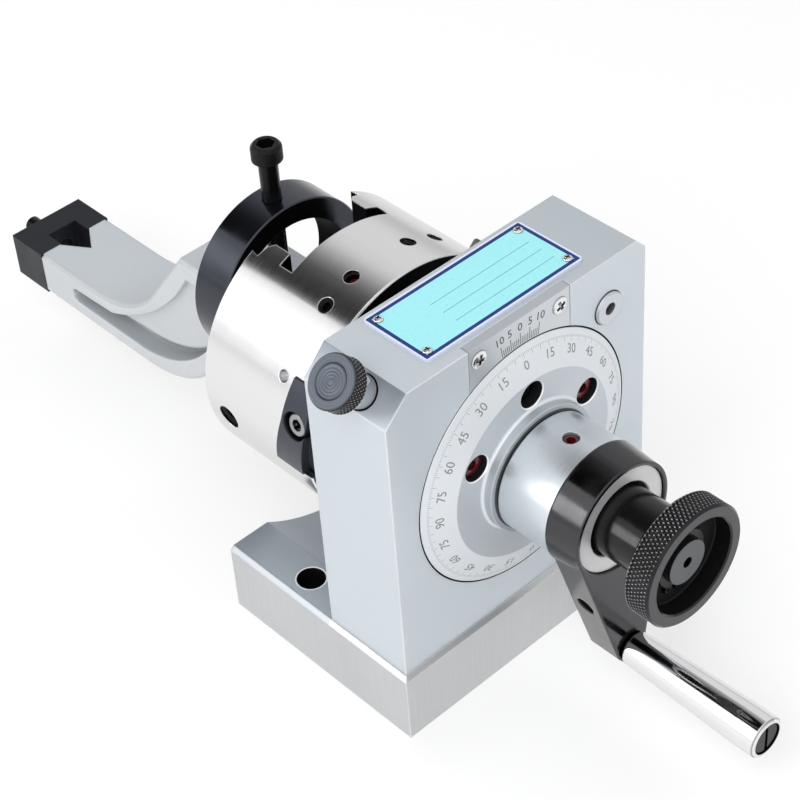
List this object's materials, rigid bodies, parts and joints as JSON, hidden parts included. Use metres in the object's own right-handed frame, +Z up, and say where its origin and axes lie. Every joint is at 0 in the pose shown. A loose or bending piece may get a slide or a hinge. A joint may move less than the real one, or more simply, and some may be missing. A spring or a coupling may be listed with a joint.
{
  "type": "punch former",
  "caption": "Punch former: a dividing head on a block base, with a graduated dial, crank and index plunger, whose slotted drum carries a clamped dresser arm.",
  "frame": {"origin": "underside of the base, below the spindle axis, in the plane of the housing's front face", "axes": "+Z up, +Y along the spindle from the crank towards the dresser arm, +X to the right seen from the crank"},
  "size_m": [0.1125, 0.3362, 0.138],
  "materials": {
    "housing_paint": "satin",
    "base_steel": "ground",
    "ground_steel": "fine ground",
    "turned_steel": "turned",
    "black_oxide": "black oxide, oiled",
    "fastener_black": "black oxide",
    "chrome": "bright plated",
    "bright_screw": "zinc plated",
    "plate_cyan": "anodised with a dark blue border",
    "cast_grey": "smooth cast, grey",
    "bronze": "machined bronze",
    "hardened_steel": "hardened and ground",
    "black_enamel": "gloss",
    "drum_steel": "turned and polished",
    "spindle_steel": "turned, hardened",
    "seal_red": "thread sealant over a set screw"
  },
  "bodies": {
    "housing": {"base": "base_steel", "housing": "housing_paint", "housing_screw_1": "fastener_black", "housing_screw_2": "fastener_black", "housing_screw_3": "fastener_black", "housing_screw_4": "fastener_black", "spindle_bush": "bronze", "vernier_plate": "ground_steel", "vernier_screw_left": "bright_screw", "vernier_screw_right": "bright_screw", "nameplate": "plate_cyan", "nameplate_pin_1": "bright_screw", "nameplate_pin_2": "bright_screw", "nameplate_pin_3": "bright_screw", "nameplate_pin_4": "bright_screw", "oil_port": "chrome", "oil_port_ball": "fastener_black"},
    "plunger": {"plunger_pin": "ground_steel", "plunger_knob": "black_oxide"},
    "spindle": {"spindle": "spindle_steel", "dial": "turned_steel", "dial_screw_lock": "fastener_black", "dial_screw_left": "seal_red", "dial_screw_right": "seal_red", "index_plate": "hardened_steel", "hub": "turned_steel", "hub_set_screw": "seal_red", "crank_arm": "black_enamel", "crank_screw": "fastener_black", "thrust_ring": "turned_steel", "handle_screw": "fastener_black", "retaining_ring": "fastener_black", "drum": "drum_steel", "drum_screw_1": "fastener_black", "drum_screw_2": "seal_red", "drum_screw_3": "seal_red", "drum_screw_4": "fastener_black", "drum_segment": "black_oxide", "segment_screw": "fastener_black", "slide_lock_screw": "fastener_black", "stop_pin": "chrome"},
    "thumb_nut": {"thumb_nut": "black_oxide"},
    "handle_grip": {"handle_grip": "chrome"},
    "slide": {"v_slide": "hardened_steel", "clamp_ring": "black_oxide", "dresser_arm": "cast_grey", "dresser_jaw": "black_oxide", "jaw_screw_left": "fastener_black", "jaw_screw_right": "fastener_black"},
    "clamp_screw": {"clamp_screw": "fastener_black", "clamp_pad": "hardened_steel"},
    "jaw_clamp_screw": {"jaw_clamp_screw": "fastener_black"}
  },
  "joints": [
    {"name": "spindle_turn", "type": "hinge", "parent": "housing", "child": "spindle", "pos_m": [0, 0, 0.077], "axis": [0, 1, 0], "continuous": true},
    {"name": "index_plunger", "type": "slide", "parent": "housing", "child": "plunger", "axis": [0.7071, 0, -0.7071], "range_m": [0, 0.005], "stiffness_N_per_m": 300},
    {"name": "thumb_nut_turn", "type": "hinge", "parent": "spindle", "child": "thumb_nut", "pos_m": [0, -0.055, 0.077], "axis": [0, 1, 0], "continuous": true},
    {"name": "handle_spin", "type": "hinge", "parent": "spindle", "child": "handle_grip", "pos_m": [0.00433, -0.06, 0.02317], "axis": [0, 1, 0], "continuous": true},
    {"name": "slide_lift", "type": "slide", "parent": "spindle", "child": "slide", "axis": [0, 0, 1], "range_m": [-0.004, 0.004]},
    {"name": "clamp_screw_lift", "type": "slide", "parent": "slide", "child": "clamp_screw", "axis": [0, 0, 1], "range_m": [0, 0.018]},
    {"name": "jaw_clamp_feed", "type": "slide", "parent": "slide", "child": "jaw_clamp_screw", "axis": [0, -1, 0], "range_m": [0, 0.005]}
  ]
}
